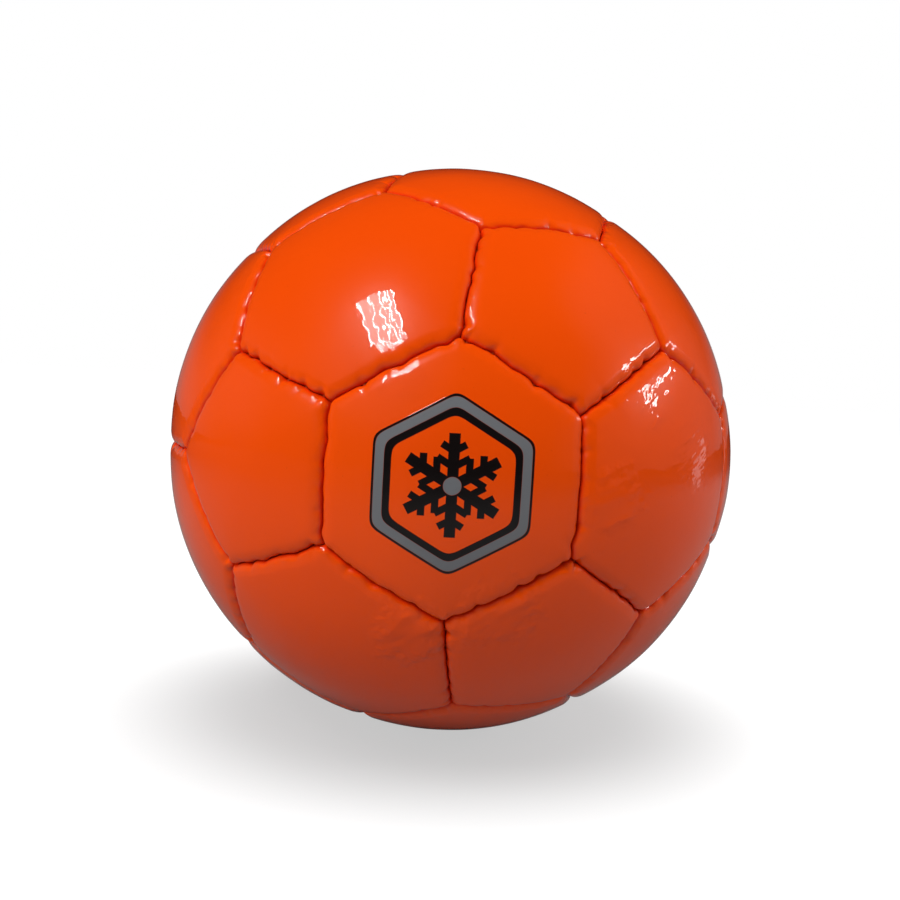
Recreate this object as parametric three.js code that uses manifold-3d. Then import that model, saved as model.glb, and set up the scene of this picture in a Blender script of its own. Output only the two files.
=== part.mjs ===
// A hand-stitched broomball ball: twenty hexagon panels and twelve pentagon panels sewn edge to edge
// round an inflated rubber bladder, with a needle valve in the middle of the rear hexagon.
// Millimetres, +Z up, origin at the ball's centre. The printed hexagon faces -Y and the valve faces +Y.
import * as THREE from "three";
import { mergeVertices } from "three/addons/utils/BufferGeometryUtils.js";
import Module from "manifold-3d";

// Ball and cover panels
const ballRadius = 76.2;
const crownRise = 0.4; // how much higher a panel's middle stands than its rolled edge
const coverThickness = 2.8; // vinyl face, foam and cloth lining, laminated
const grooveDepth = 1.3; // from the rolled edge down to where two panels meet
const shoulderWidth = 3.2; // over which a panel's edge rolls down into the groove
const cornerRadius = 2.0; // of a panel's corners, seen from outside
const seamGap = 0.3; // between the faces of two neighbouring panels

// Hems: the panel edges that are turned in and sewn to each other
const hemDepth = 4.0; // below the bottom of the groove
const hemThickness = 2.0;
const hemSplay = 1.2; // how far a hem's raw edge stands off from the seam

// Sewing thread
const threadRadius = 0.4;

// Bladder and valve
const bladderWall = 0.9;
const valvePatchRadius = 15;
const valvePatchThickness = 0.8;
const valveFlangeRadius = 12;
const valveFlangeThickness = 1.0;
const valveNeckRadius = 3.5;
const valveFaceRecess = 0.4; // of the valve's face below the panel round it
const valveStemRadius = 4.4;
const valveBoreRadius = 2.3;
const valveOutletRadius = 1.2;
const valveOutletLength = 8; // of the narrow passage below the plug's bore
const valveCoreLength = 9;
const valveCoreRecess = 0.5;
const needleHoleRadius = 0.9;
const needleHoleDepth = 5;

const clearance = 0.3; // between pieces that rest on each other

const outerColumns = [0, 0.12, 0.5, 0.88]; // places along a panel's side where its outer rings have points
const innerColumns = [0, 0.5];
const roundSegments = 16;

const orangeVinyl = { color: 0xf2500a, roughness: 0.16, metalness: 0 };
const blackRubber = { color: 0x17171a, roughness: 0.6, metalness: 0 };
const palePatch = { color: 0xd8d2c4, roughness: 0.9, metalness: 0 };
const orangeThread = { color: 0xc23a10, roughness: 0.75, metalness: 0 };

const wasm = await Module();
wasm.setup();

// The closed solid of a geometry, for cutting and joining
function solidFrom(geometry) {
  const bare = geometry.index ? geometry.toNonIndexed() : geometry.clone();
  bare.deleteAttribute("normal");
  bare.deleteAttribute("uv");
  const merged = mergeVertices(bare, 1e-4);
  return new wasm.Manifold(
    new wasm.Mesh({
      numProp: 3,
      vertProperties: new Float32Array(merged.attributes.position.array),
      triVerts: new Uint32Array(merged.index.array),
    }),
  );
}

function geometryFrom(solid) {
  const mesh = solid.getMesh();
  const geometry = new THREE.BufferGeometry();
  geometry.setAttribute("position", new THREE.BufferAttribute(mesh.vertProperties, 3));
  geometry.setIndex(new THREE.BufferAttribute(mesh.triVerts, 1));
  const flat = geometry.toNonIndexed();
  flat.computeVertexNormals();
  return flat;
}

const ball = new THREE.Group();

function addPiece(name, geometry, finish) {
  const mesh = new THREE.Mesh(geometry, new THREE.MeshStandardMaterial(finish));
  mesh.name = name;
  ball.add(mesh);
}

// The panel layout is a truncated icosahedron. An icosahedron's corners are the pentagons' middles, its
// faces' middles are the hexagons' middles, and each of its edges holds two corners of the seams.
const goldenRatio = (1 + Math.sqrt(5)) / 2;
const frontTurn = -Math.PI / 2 + Math.atan(1 / goldenRatio ** 2); // turns one face's middle to -Y
const icosahedron = new THREE.IcosahedronGeometry(1, 0).rotateZ(frontTurn);
icosahedron.deleteAttribute("normal");
icosahedron.deleteAttribute("uv");
const layout = mergeVertices(icosahedron, 1e-4);
const poles = [];
for (let i = 0; i < layout.attributes.position.count; i++) {
  poles.push(new THREE.Vector3().fromBufferAttribute(layout.attributes.position, i).normalize());
}
const faces = [];
for (let i = 0; i < layout.index.count; i += 3) {
  faces.push([0, 1, 2].map((k) => poles[layout.index.getX(i + k)]));
}

// The corner of the seams a third of the way from one icosahedron corner to another
function seamCorner(near, far) {
  return near.clone().multiplyScalar(2).add(far).normalize();
}

// The corners in the order that runs anticlockwise round the middle, seen from outside
function inOrder(middle, corners) {
  const east = corners[0].clone().cross(middle).normalize();
  const north = middle.clone().cross(east);
  const bearing = (corner) => Math.atan2(corner.dot(north), corner.dot(east));
  return corners.slice().sort((a, b) => bearing(a) - bearing(b));
}

function hexagonPanel(face) {
  const middle = face[0].clone().add(face[1]).add(face[2]).normalize();
  const corners = [];
  for (const near of face) {
    for (const far of face) {
      if (near !== far) corners.push(seamCorner(near, far));
    }
  }
  return { middle, corners: inOrder(middle, corners) };
}

function pentagonPanel(pole) {
  const corners = [];
  for (const face of faces) {
    if (!face.includes(pole)) continue;
    const next = face[(face.indexOf(pole) + 1) % 3];
    corners.push(seamCorner(pole, next));
  }
  return { middle: pole, corners: inOrder(pole, corners) };
}

// A spherical polygon of points at one radius, its sides a given distance inside the seams
function ringPoints(panel, inset, radius, columns, rounding = 0) {
  const { middle, corners } = panel;
  const sharp = [];
  const round = [];
  corners.forEach((corner, i) => {
    const next = corners[(i + 1) % corners.length];
    const side = corner.clone().cross(next).normalize();
    const inward = middle.clone().addScaledVector(corner, -middle.dot(corner)).normalize();
    const halfAngleSine = inward.dot(side);
    const turn = Math.asin(Math.sin(inset / radius) / halfAngleSine);
    const pull = (Math.max(0, rounding - inset) * (1 / halfAngleSine - 1)) / radius;
    const at = (angle) =>
      corner.clone().multiplyScalar(Math.cos(angle)).addScaledVector(inward, Math.sin(angle));
    sharp.push(at(turn));
    round.push(at(turn + pull));
  });
  const points = [];
  sharp.forEach((corner, i) => {
    for (const column of columns) {
      const along = corner.clone().lerp(sharp[(i + 1) % sharp.length], column).normalize();
      const direction = column === 0 ? round[i] : along;
      points.push({ along: i + column, position: direction.clone().multiplyScalar(radius) });
    }
  });
  return points;
}

// Triangles of the band between two rings of a loft, which may have different numbers of points
function zipRings(first, second, triangles) {
  let i = 0;
  let j = 0;
  const place = (ring, k) => ring[k % ring.length].position;
  const along = (ring, k) => (k < ring.length ? ring[k].along : Infinity);
  while (i < first.length || j < second.length) {
    const useFirst = j >= second.length || (i < first.length && along(first, i + 1) <= along(second, j + 1));
    if (useFirst) {
      triangles.push(place(first, i), place(second, j), place(first, i + 1));
      i++;
    } else {
      triangles.push(place(first, i), place(second, j), place(second, j + 1));
      j++;
    }
  }
}

// A skin lofted through rings, with a fan to a top point and to a bottom point where they are given
function loftRings(top, rings, bottom) {
  const triangles = [];
  if (top) {
    rings[0].forEach((point, k) => {
      triangles.push(top, point.position, rings[0][(k + 1) % rings[0].length].position);
    });
  }
  for (let k = 0; k + 1 < rings.length; k++) zipRings(rings[k], rings[k + 1], triangles);
  if (bottom) {
    const last = rings[rings.length - 1];
    last.forEach((point, k) => {
      triangles.push(bottom, last[(k + 1) % last.length].position, point.position);
    });
  }
  return triangles;
}

function skinGeometry(triangles) {
  const geometry = new THREE.BufferGeometry().setFromPoints(triangles);
  geometry.computeVertexNormals();
  return geometry;
}

// How far a panel's sides lie from its middle, along the surface
function halfWidth(panel) {
  const side = panel.corners[0].clone().cross(panel.corners[1]).normalize();
  return ballRadius * Math.asin(side.dot(panel.middle));
}

// Radius of the crowned face, before its edge rolls down
function crownRadius(panel, inset) {
  const fall = Math.max(0, 1 - inset / halfWidth(panel));
  return ballRadius - crownRise * fall ** 2;
}

// Radius of the panel's face, with the rolled edge as a quarter of an ellipse
function faceRadius(panel, inset) {
  const within = Math.min(1, inset / shoulderWidth);
  const drop = grooveDepth * (1 - Math.sqrt(1 - (1 - within) ** 2));
  return crownRadius(panel, inset) - drop;
}

const hemTipRadius = ballRadius - crownRise - grooveDepth - hemDepth;
const seamInset = seamGap / 2;
const tipOuterInset = seamInset + hemSplay;
const tipInnerInset = tipOuterInset + hemThickness;
const hemFootInset = seamInset + hemThickness;
const liningMiddle = 0.5; // share of the half width at which the lining has its middle ring

function liningRadius(panel, inset) {
  return crownRadius(panel, inset) - coverThickness;
}

// One cover panel: crowned face, rolled edge, turned-in hem and lining
function coverPanel(panel) {
  const width = halfWidth(panel);
  const faceRing = (inset) =>
    ringPoints(panel, inset, faceRadius(panel, inset), outerColumns, cornerRadius);
  const hemRing = (inset, radius) => ringPoints(panel, inset, radius, innerColumns, cornerRadius);
  const liningRing = (inset) => hemRing(inset, liningRadius(panel, inset));
  const rings = [
    faceRing(width * 0.55),
    faceRing(shoulderWidth),
    faceRing(shoulderWidth * 0.25),
    ringPoints(panel, seamInset, faceRadius(panel, 0), outerColumns, cornerRadius),
    hemRing(tipOuterInset, hemTipRadius),
    hemRing(tipInnerInset, hemTipRadius),
    liningRing(hemFootInset),
    liningRing(width * liningMiddle),
  ];
  const top = panel.middle.clone().multiplyScalar(ballRadius);
  const bottom = panel.middle.clone().multiplyScalar(ballRadius - coverThickness);
  return skinGeometry(loftRings(top, rings, bottom));
}

// The valve's pieces are turned round the Y axis, so a profile's y is its distance from the ball's middle
function turned(profile) {
  const points = profile.map(([x, y]) => new THREE.Vector2(x, y));
  if (points[0].x > 0) points.push(points[0].clone());
  return new THREE.LatheGeometry(points, roundSegments);
}

function roundBar(radius, from, to) {
  const bar = new THREE.CylinderGeometry(radius, radius, to - from, roundSegments);
  return bar.translate(0, (from + to) / 2, 0);
}

// Points of a dome's profile between two distances from the axis
function domeProfile(radius, from, to) {
  const steps = 3;
  const points = [];
  for (let k = 0; k <= steps; k++) {
    const x = from + ((to - from) * k) / steps;
    points.push([x, Math.sqrt(radius ** 2 - x ** 2)]);
  }
  return points;
}

const hexagons = faces.map(hexagonPanel);
const pentagons = poles.map(pentagonPanel);
const panels = [...hexagons, ...pentagons];
const rearPanel = hexagons.reduce((a, b) => (a.middle.y > b.middle.y ? a : b));
const frontPanel = hexagons.reduce((a, b) => (a.middle.y < b.middle.y ? a : b));

// The lining is made of flat facets, so it sags by this much below its own radius
const liningSag = ballRadius * (1 - Math.cos((halfWidth(rearPanel) * (1 - liningMiddle)) / ballRadius / 2));

const patchTop = ballRadius - coverThickness - liningSag - clearance;
const flangeTop = patchTop - valvePatchThickness - clearance;
const flangeUnder = flangeTop - valveFlangeThickness;
const valveFace = ballRadius - valveFaceRecess;
const coreTop = valveFace - valveCoreRecess;
const coreBottom = coreTop - valveCoreLength;
const boreEnd = coreBottom - clearance;
const stemEnd = boreEnd - valveOutletLength;

function valvePatch() {
  const hole = valveNeckRadius + clearance;
  const upper = domeProfile(patchTop, hole, valvePatchRadius);
  const lower = domeProfile(patchTop - valvePatchThickness, hole, valvePatchRadius);
  return turned([...lower, ...upper.reverse()]);
}

// Moulded rubber housing: flange on the bladder, neck through the panel, stem into the air space
function valveHousing() {
  const flange = domeProfile(flangeTop, valveNeckRadius, valveFlangeRadius);
  const under = domeProfile(flangeUnder, valveStemRadius, valveFlangeRadius);
  return turned([
    [valveOutletRadius, stemEnd],
    [valveStemRadius, stemEnd],
    ...under,
    ...flange.reverse(),
    [valveNeckRadius, valveFace],
    [valveBoreRadius, valveFace],
    [valveBoreRadius, boreEnd],
    [valveOutletRadius, boreEnd],
  ]);
}

// Self-sealing plug that the pump's needle is pushed through
function valveCore() {
  const radius = valveBoreRadius - clearance;
  return turned([
    [0, coreBottom],
    [radius, coreBottom],
    [radius, coreTop],
    [needleHoleRadius, coreTop],
    [needleHoleRadius, coreTop - needleHoleDepth],
    [0, coreTop - needleHoleDepth],
  ]);
}

// The bladder fills the cover: it is pressed against each lining and dented by the hems. Its skin is
// lofted for each panel from the seams up to the pad under the lining.
function bladderSkin(inward) {
  const triangles = [];
  for (const panel of panels) {
    const footInset = tipInnerInset + clearance;
    const padInset = footInset + clearance;
    const pad = panel === rearPanel ? flangeUnder - clearance : liningRadius(panel, padInset) - clearance;
    const ring = (inset, radius) => ringPoints(panel, inset, radius - inward, innerColumns);
    const rings = [
      ring(padInset, pad),
      ring(footInset, hemTipRadius - clearance),
      ring(0, hemTipRadius - clearance),
    ];
    const middle = panel === rearPanel ? pad : ballRadius - coverThickness - clearance;
    triangles.push(...loftRings(panel.middle.clone().multiplyScalar(middle - inward), rings, null));
  }
  return solidFrom(skinGeometry(triangles));
}

function bladder() {
  const hole = solidFrom(roundBar(valveStemRadius + clearance, 0, ballRadius));
  return geometryFrom(bladderSkin(0).subtract(bladderSkin(bladderWall)).subtract(hole));
}

// The thread lies between the two hems of a seam, where their gap is as wide as the thread and its clearance
const hemSlope = Math.atan(hemSplay / hemDepth);
const threadHalfGap = (threadRadius + clearance) / Math.cos(hemSlope);
const threadLineRadius = hemTipRadius + hemDepth * (1 - (threadHalfGap - seamInset) / hemSplay);

// The thread runs along all ninety seams and is knotted where they meet
function seamThread() {
  const section = [180, 90, 0].map((degrees) => THREE.MathUtils.degToRad(degrees));
  const triangles = [];
  for (const panel of panels) {
    const rings = section.map((angle) => {
      const inset = threadRadius * Math.sin(angle);
      return ringPoints(panel, inset, threadLineRadius + threadRadius * Math.cos(angle), innerColumns);
    });
    triangles.push(...loftRings(null, rings, null));
  }
  return geometryFrom(solidFrom(skinGeometry(triangles)));
}

// Two-digit numbers run from the top of the ball down, and then round it
function numbered(panels) {
  const height = (panel) => Math.round(panel.middle.z * 1000);
  const bearing = (panel) => Math.atan2(panel.middle.y, panel.middle.x);
  const sorted = panels.slice().sort((a, b) => height(b) - height(a) || bearing(a) - bearing(b));
  return sorted.map((panel, i) => [String(i + 1).padStart(2, "0"), panel]);
}

addPiece("printed_panel", coverPanel(frontPanel), orangeVinyl);

const valveHole = solidFrom(roundBar(valveNeckRadius + clearance, 0, ballRadius * 2));
const drilledPanel = solidFrom(coverPanel(rearPanel)).subtract(valveHole);
addPiece("valve_panel", geometryFrom(drilledPanel), orangeVinyl);

const plainHexagons = hexagons.filter((panel) => panel !== frontPanel && panel !== rearPanel);
for (const [number, panel] of numbered(plainHexagons)) {
  addPiece(`hexagon_panel_${number}`, coverPanel(panel), orangeVinyl);
}
for (const [number, panel] of numbered(pentagons)) {
  addPiece(`pentagon_panel_${number}`, coverPanel(panel), orangeVinyl);
}

addPiece("seam_thread", seamThread(), orangeThread);
addPiece("bladder", bladder(), blackRubber);
addPiece("valve_patch", valvePatch(), palePatch);
addPiece("valve_housing", valveHousing(), blackRubber);
addPiece("valve_core", valveCore(), blackRubber);

export default ball;
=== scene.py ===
import math
import random

import bmesh
import bpy
import numpy as np
from mathutils import Matrix, Quaternion, Vector


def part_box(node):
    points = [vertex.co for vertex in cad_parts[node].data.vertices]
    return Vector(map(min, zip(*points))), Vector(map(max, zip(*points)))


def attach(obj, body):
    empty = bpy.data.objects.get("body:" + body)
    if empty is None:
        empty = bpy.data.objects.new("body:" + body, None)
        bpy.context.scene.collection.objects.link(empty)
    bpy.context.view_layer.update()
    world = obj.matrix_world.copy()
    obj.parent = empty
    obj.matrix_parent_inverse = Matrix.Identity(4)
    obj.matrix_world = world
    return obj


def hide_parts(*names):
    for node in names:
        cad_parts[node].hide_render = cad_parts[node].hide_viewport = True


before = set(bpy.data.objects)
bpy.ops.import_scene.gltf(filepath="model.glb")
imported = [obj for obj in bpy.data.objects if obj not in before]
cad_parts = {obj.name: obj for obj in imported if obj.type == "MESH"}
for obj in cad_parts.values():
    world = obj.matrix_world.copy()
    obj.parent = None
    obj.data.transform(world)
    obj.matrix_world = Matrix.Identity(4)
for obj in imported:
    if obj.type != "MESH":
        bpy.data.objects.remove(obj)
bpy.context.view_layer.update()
mm = 0.001


# Small helpers for node trees

def put(value, socket):
    # links the value into the input, or sets it there if it is a plain one
    if isinstance(value, bpy.types.NodeSocket):
        socket.id_data.links.new(value, socket)
    else:
        socket.default_value = value


def addNode(tree, kind, values=(), **settings):
    # values are (input name or number, value or socket) pairs
    node = tree.nodes.new(kind)
    for name, value in settings.items():
        setattr(node, name, value)
    for key, value in values:
        put(value, node.inputs[key])
    return node


def treeOf(values):
    return next(value.id_data for value in values if isinstance(value, bpy.types.NodeSocket))


def maths(operation, *values):
    # in the tree that its values come from
    return addNode(treeOf(values), "ShaderNodeMath", enumerate(values), operation=operation).outputs[0]


def plus(a, b):
    return maths("ADD", a, b)


def minus(a, b):
    return maths("SUBTRACT", a, b)


def times(a, b):
    return maths("MULTIPLY", a, b)


def over(a, b):
    return maths("DIVIDE", a, b)


def larger(a, b):
    return maths("MAXIMUM", a, b)


def vectors(operation, *values):
    node = addNode(treeOf(values), "ShaderNodeVectorMath", enumerate(values), operation=operation)
    return node.outputs["Value" if operation == "LENGTH" else "Vector"]


def scaled(vector, amount):
    pairs = [(0, vector), ("Scale", amount)]
    return addNode(vector.id_data, "ShaderNodeVectorMath", pairs, operation="SCALE").outputs["Vector"]


def partsOf(vector):
    return addNode(vector.id_data, "ShaderNodeSeparateXYZ", [(0, vector)]).outputs


def combined(tree, **parts):
    return addNode(tree, "ShaderNodeCombineXYZ", parts.items()).outputs[0]


def easedRange(value, low, high, toLow=0.0, toHigh=1.0):
    pairs = enumerate((value, low, high, toLow, toHigh))
    return addNode(value.id_data, "ShaderNodeMapRange", pairs, interpolation_type="SMOOTHSTEP").outputs[0]


def noise(vector, scale, output=0, **others):
    # others are more of the node's inputs by name, of which W is a fourth dimension
    pairs = [("Vector", vector), ("Scale", scale), *others.items()]
    dimensions = "4D" if "W" in others else "3D"
    return addNode(vector.id_data, "ShaderNodeTexNoise", pairs, noise_dimensions=dimensions).outputs[output]


def mixColours(amount, first, second):
    values = (amount, first, second)
    return addNode(treeOf(values), "ShaderNodeMix", zip((0, 6, 7), values), data_type="RGBA").outputs[2]


def stored(tree, name, kind="FLOAT"):
    node = addNode(tree, "GeometryNodeInputNamedAttribute", [("Name", name)], data_type=kind)
    return node.outputs["Attribute"]


def newTree(name, kind, inputs, outputs):
    # inputs are start values by name, or the kind of a socket that has none; outputs are kinds by name
    tree = bpy.data.node_groups.new(name, kind)
    for label, value in inputs.items():
        socketKind = {int: "Int", float: "Float"}.get(type(value), value)
        socket = tree.interface.new_socket(label, in_out="INPUT", socket_type="NodeSocket" + socketKind)
        if socketKind is not value:
            socket.default_value = value
    for label, socketKind in outputs.items():
        tree.interface.new_socket(label, in_out="OUTPUT", socket_type="NodeSocket" + socketKind)
    entry = tree.nodes.new("NodeGroupInput").outputs
    leave = tree.nodes.new("NodeGroupOutput").inputs
    return tree, entry, leave


def endGeometry(tree, geometry, entry, leave):
    realized = addNode(tree, "GeometryNodeRealizeInstances", [(0, geometry)])
    finished = addNode(tree, "GeometryNodeSetMaterial",
                       [("Geometry", realized.outputs[0]), ("Material", entry["Material"])])
    put(finished.outputs[0], leave["Geometry"])


def runTree(piece, tree, values):
    # puts the tree on the piece with the given inputs, and keeps the result as a plain mesh
    modifier = piece.modifiers.new(tree.name, "NODES")
    modifier.node_group = tree
    for item in tree.interface.items_tree:
        if item.item_type == "SOCKET" and item.in_out == "INPUT" and item.name in values:
            modifier[item.identifier] = values[item.name]
    evaluated = piece.evaluated_get(bpy.context.evaluated_depsgraph_get())
    mesh = bpy.data.meshes.new_from_object(evaluated)
    piece.modifiers.remove(modifier)
    mesh.name = piece.name
    piece.data = mesh


# Helpers for pieces and their meshes

def newPiece(name, mesh):
    piece = bpy.data.objects.new(name, mesh)
    bpy.context.scene.collection.objects.link(piece)
    return piece


def smooth(mesh):
    mesh.polygons.foreach_set("use_smooth", [True] * len(mesh.polygons))


def meshFrom(work, name):
    mesh = bpy.data.meshes.new(name)
    work.to_mesh(mesh)
    work.free()
    smooth(mesh)
    return mesh


def dropLoosePoints(work):
    bmesh.ops.delete(work, geom=[v for v in work.verts if not v.link_faces], context="VERTS")


def dress(piece, node):
    # nothing on the ball moves by itself, so each piece rides on the one body
    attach(piece, "root")
    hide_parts(node)


def unit(rows):
    return rows / np.linalg.norm(rows, axis=1)[:, None]


def column(values):
    return np.ravel(values)[:, None]


# Where the panels lie: a truncated icosahedron

ball = {
    "radius": 76.2 * mm,
    "crownRise": 0.4 * mm,      # how much a panel's middle stands above its edges
    "grooveDepth": 1.7 * mm,
    "hemDepth": 3.6 * mm,
    "coverThickness": 2.8 * mm,
    "stitchesPerSeam": 6,
    "stitchDrift": 0.16,        # share of the pitch by which a stitch may miss its place
    "strongestPull": 1.7,       # a stitch that pulls the edge down as far as the pinch depth has 1
    "slackest": 0.15,
    "pullSpread": 2.4,          # the higher this is, the more of them are slack
    "seed": 11,
}


def layPanels():
    golden = (1 + math.sqrt(5)) / 2
    turn = Matrix.Rotation(-math.pi / 2 + math.atan(1 / golden ** 2), 3, "Z")
    poles = []
    for a in (-1, 1):
        for b in (-golden, golden):
            for spot in ((a, b, 0), (0, a, b), (b, 0, a)):
                poles.append((turn @ Vector(spot)).normalized())
    near = 2 * math.sin(math.radians(36))   # of a unit icosahedron's corners, less than this apart
    joined = [(i, j) for i in range(12) for j in range(12)
              if i != j and (poles[i] - poles[j]).length < near]
    corner = {(i, j): (2 * poles[i] + poles[j]).normalized() for i, j in joined}
    panels = [(poles[i], [corner[pair] for pair in joined if pair[0] == i]) for i in range(12)]
    for i, j in joined:
        for k in range(j + 1, 12):
            if i < j and (j, k) in joined and (i, k) in joined:
                three = (i, j, k)
                corners = [corner[a, b] for a in three for b in three if a != b]
                panels.append(((poles[i] + poles[j] + poles[k]).normalized(), corners))
    for middle, corners in panels:
        east = corners[0].cross(middle).normalized()
        north = middle.cross(east)
        corners.sort(key=lambda c: math.atan2(c.dot(north), c.dot(east)))
    return panels


def placeKey(point):
    return tuple(round(value, 4) + 0.0 for value in point)    # and no minus zero


def seamOf(corners, i):
    # the two corners at the ends of a panel's seam, in the same order for both of its panels, and their key
    ends = sorted((corners[i], corners[(i + 1) % len(corners)]), key=placeKey)
    return ends, tuple(placeKey(end) for end in ends)


def laySeams(panels):
    # each seam once, with its stitches: (start, end, [(share of the way, pull, sway), ...])
    chance = random.Random(ball["seed"])
    seams = {}
    count, drift = ball["stitchesPerSeam"], ball["stitchDrift"]
    for middle, corners in panels:
        for i in range(len(corners)):
            ends, key = seamOf(corners, i)
            if key not in seams:
                stitches = []
                for k in range(count):
                    share = (k + 0.5 + chance.uniform(-drift, drift)) / count
                    pull = ball["strongestPull"] * chance.uniform(ball["slackest"], 1.0) ** ball["pullSpread"]
                    stitches.append((share, pull, chance.uniform(-1, 1)))
                seams[key] = (*ends, stitches)
    return seams


panels = layPanels()
seams = laySeams(panels)
print("laid out", len(panels), "panels and", len(seams), "seams")


# The cover panels

panelMesh = {
    "steps": 36,          # of the grid from a panel's middle to its corner
    "edgeSteps": 16,      # of those, in the rolled edge
    "edgeShare": 0.17,    # of the way, that the rolled edge takes
    "edgeCrowding": 1.5,  # how much closer together its last steps are
    "holeSteps": 3,       # of the grid round the valve's hole
    "holeBlend": 6,       # the next steps, which give way to it
    "holeSpread": 0.9,    # and how far they do
    "holeRadius": 3.8 * mm,
    "rimReach": 2.5 * mm,    # round the hole the face turns down
    "rimDrop": 0.35 * mm,
    "liningPoints": 48,
    "liningReach": 0.16,     # radians from the middle, of the lining's inner ring
    # the hem: down into the seam, out to its raw edge, round that, and back up under the lining
    "hemInsets": (0.25 * mm, 1.3 * mm, 3.2 * mm, 2.4 * mm),
    "hemNeck": 0.8 * mm,     # its first ring lies this far under the groove
    "hemReturn": 0.7 * mm,   # and its last this far under the lining
}

panelForm = {
    "Shoulder Width": 3.2 * mm,
    "Corner Radius": 2.0 * mm,
    "Half Gap": 0.05 * mm,
    "Scallop": 0.08 * mm,       # how far a stitch draws the edge in from the seam
    "Scallop Reach": 1.2 * mm,
    "Sway": 0.62 * mm,          # how far the seam wanders sideways between its stitches
    "Sway Width": 0.27,         # shares of the stitch pitch, as the other widths are
    "Sway Reach": 3.0 * mm,
    "Pinch Depth": 0.34 * mm,
    "Pinch Width": 0.14,
    "Pinch Reach": 1.25 * mm,
    "Crease Depth": 0.1 * mm,
    "Crease Width": 0.09,
    "Crease Reach": 4.0 * mm,
    "Wander Scale": 260.0,      # of the noise that bends the creases
    "Dimple": 1.6,              # how steeply the face falls where three panels meet
    "Uneven Height": 0.34 * mm,
    "Uneven Scale": 48.0,
    "Seed": 3.0,
}


def gridSpacing():
    steps = panelMesh["steps"]
    edge = panelMesh["edgeSteps"]
    share = panelMesh["edgeShare"]
    inner = np.linspace(0, 1 - share, steps - edge + 1)
    outer = 1 - share * (1 - np.linspace(0, 1, edge + 1)) ** panelMesh["edgeCrowding"]
    return np.concatenate([inner, outer[1:]])


def seamFacts(directions, corners):
    # for each point: its two nearest seams' distances, the nearest seam's side, and its nearest stitch
    every = np.arange(len(directions))
    rows = []
    for i, first in enumerate(corners):
        ends, key = seamOf(corners, i)
        start, end, stitches = seams[key]
        side = np.array(first.cross(corners[(i + 1) % len(corners)]).normalized())
        onward = np.array((end - start * start.dot(end)).normalized())
        along = np.arctan2(directions @ onward, directions @ np.array(start)) / start.angle(end)
        shares, pulls, sways = np.array(stitches).T
        offsets = (along - shares[:, None]) * ball["stitchesPerSeam"]
        nearest = np.abs(offsets).argmin(0)
        sign = 1 if ends[0] == first else -1    # a seam sways the same way for both of its panels
        inset = ball["radius"] * np.arcsin(np.clip(directions @ side, -1, 1))
        rows.append((inset, offsets[nearest, every], pulls[nearest], sign * sways[nearest],
                     np.tile(side, (len(every), 1))))
    insets, gaps, pulls, sways, sides = (np.array(row) for row in zip(*rows))
    pick, second = insets.argsort(0)[:2]
    return {
        "seamInset": insets[pick, every],
        "secondInset": insets[second, every],
        "stitchOffset": gaps[pick, every],
        "stitchPull": pulls[pick, every],
        "stitchSway": sways[pick, every],
        "seamSide": sides[pick, every],
    }


def kite(centre, corners, i, u, v):
    # directions over the part of a panel between its middle, a corner and the middles of its two seams
    corner = np.array(corners[i])
    before = np.array((corners[i - 1] + corners[i]).normalized())
    after = np.array((corners[i] + corners[(i + 1) % len(corners)]).normalized())
    return unit((1 - u) * (1 - v) * centre + u * (1 - v) * before + (1 - u) * v * after + u * v * corner)


def anglesFrom(centre, directions):
    return np.arccos(np.clip(directions @ centre, -1, 1))


def sidewaysFrom(centre, directions):
    return directions - np.outer(directions @ centre, centre)


def leaned(centre, sideways, angles):
    # directions at these angles from the centre
    return column(np.cos(angles)) * centre + column(np.sin(angles)) * sideways


def zipLoops(outer, inner, faces):
    # fills between two loops of points with different counts, both running the same way
    i = j = 0
    while i < len(outer) or j < len(inner):
        a, b = outer[i % len(outer)], inner[j % len(inner)]
        if j >= len(inner) or (i < len(outer) and (i + 1) / len(outer) <= (j + 1) / len(inner)):
            i += 1
            faces.append((a, b, outer[i % len(outer)]))
        else:
            j += 1
            faces.append((a, b, inner[j % len(inner)]))


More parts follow.
